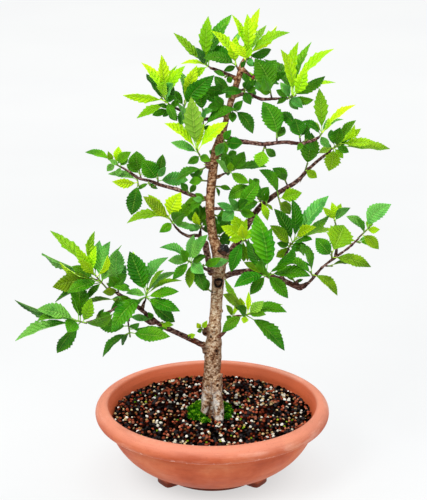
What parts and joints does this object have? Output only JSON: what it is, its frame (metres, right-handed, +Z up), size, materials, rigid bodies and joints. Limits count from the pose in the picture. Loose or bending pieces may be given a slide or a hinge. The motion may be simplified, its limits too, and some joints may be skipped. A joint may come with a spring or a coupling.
{
  "type": "medlar bonsai",
  "caption": "Small medlar tree trained as a bonsai, with toothed leaves on short spurs, standing in grainy soil in a round footed terracotta pot.",
  "frame": {"origin": "centre of the pot's flat underside, on the surface that it stands on", "axes": "+Z up along the pot's axis; -Y towards the front of the tree; +X to the right of someone who looks at its front"},
  "size_m": [0.4149, 0.271, 0.5435],
  "materials": {
    "terracotta": "matte fired clay",
    "drain_mesh": "black plastic mesh",
    "soil": "loose grains of lava, pumice and fired clay",
    "moss": "soft moss",
    "bark": "bark",
    "wound_seal": "glossy black wound paste",
    "leaf": "semi-gloss leaf"
  },
  "bodies": {
    "root": {"pot": "terracotta", "screen_left": "drain_mesh", "screen_right": "drain_mesh", "soil": "soil", "moss": "moss", "trunk_and_branches": "bark", "wound_seal": "wound_seal", "leaves_low_left_tip": "leaf", "leaves_low_left_middle": "leaf", "leaves_low_left_front": "leaf", "leaves_low_left_drop": "leaf", "leaves_low_left_spur": "leaf", "leaves_front_rosette": "leaf", "leaves_front_trunk_pair": "leaf", "leaves_side_stem_tip": "leaf", "leaves_side_stem_fork": "leaf", "leaves_left_tip": "leaf", "leaves_left_outer": "leaf", "leaves_left_middle": "leaf", "leaves_left_inner": "leaf", "leaves_upper_left_low": "leaf", "leaves_trunk_left_upper": "leaf", "leaves_trunk_left_middle": "leaf", "leaves_upper_left_tip": "leaf", "leaves_upper_left_inner": "leaf", "leaves_upper_left_base": "leaf", "leaves_trunk_upper_left": "leaf", "leaves_trunk_upper_right": "leaf", "leaves_top_left_tip": "leaf", "leaves_top_short": "leaf", "leaves_top_tip": "leaf", "leaves_top_right_short": "leaf", "leaves_upper_right_middle": "leaf", "leaves_upper_right_inner": "leaf", "leaves_upper_right_tip": "leaf", "leaves_right_inner": "leaf", "leaves_right_under": "leaf", "leaves_right_middle": "leaf", "leaves_right_tip": "leaf", "leaves_right_long_tip": "leaf", "leaves_right_long_outer": "leaf", "leaves_right_long_upper": "leaf", "leaves_right_long_lower": "leaf", "leaves_right_long_inner": "leaf", "leaves_middle_stub": "leaf", "leaves_trunk_bright_leaf": "leaf", "leaves_middle_right": "leaf", "leaves_front_lime": "leaf", "leaves_low_right_rosette": "leaf", "leaves_low_right_spur": "leaf", "leaves_low_right_middle": "leaf", "leaves_low_right_outer": "leaf", "leaves_low_right_tip": "leaf", "leaves_low_right_fork": "leaf", "leaves_front_low": "leaf", "leaves_trunk_low_sprout": "leaf", "leaves_middle_back": "leaf", "leaves_upper_back": "leaf", "leaves_trunk_back": "leaf"}
  },
  "joints": []
}
